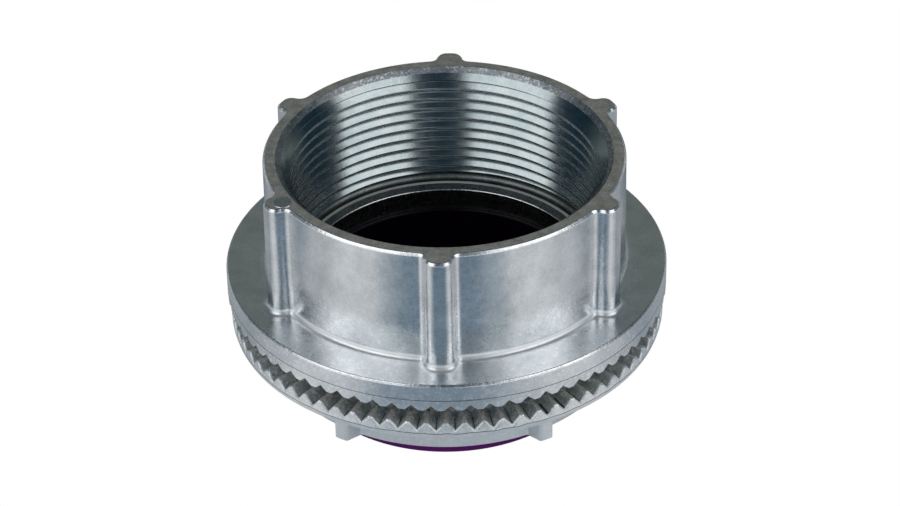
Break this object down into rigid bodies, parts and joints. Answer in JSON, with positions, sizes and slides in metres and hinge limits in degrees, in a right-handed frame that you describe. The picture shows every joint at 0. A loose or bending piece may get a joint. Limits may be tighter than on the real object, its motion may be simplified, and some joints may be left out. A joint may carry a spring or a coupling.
{
  "type": "watertight conduit hub",
  "caption": "Ribbed, threaded conduit hub with a toothed flange, a sealing ring, a toothed locknut and an insulated throat.",
  "frame": {"origin": "on the axis, in the plane of the flange's tooth tips, which bite the outer face of the enclosure wall", "axes": "+Z along the bore, out of the enclosure towards the conduit; +Y runs through one of the ribs"},
  "size_m": [0.0834, 0.0834, 0.0486],
  "materials": {
    "die_cast_zinc": "satin die-cast zinc alloy with a fine cast sparkle",
    "die_cast_zinc_nut": "satin die-cast zinc alloy, rough at the teeth",
    "seal_rubber": "matte moulded rubber",
    "liner_plastic": "smooth dark purple moulded plastic"
  },
  "bodies": {
    "hub": {"hub_body": "die_cast_zinc", "sealing_ring": "seal_rubber", "throat_liner": "liner_plastic"},
    "nut": {"locknut": "die_cast_zinc_nut"}
  },
  "joints": [
    {"name": "locknut_turn", "type": "hinge", "parent": "hub", "child": "nut", "pos_m": [0, 0, -0.009], "axis": [0, 0, 1], "range_deg": [-2200, 545]}
  ]
}
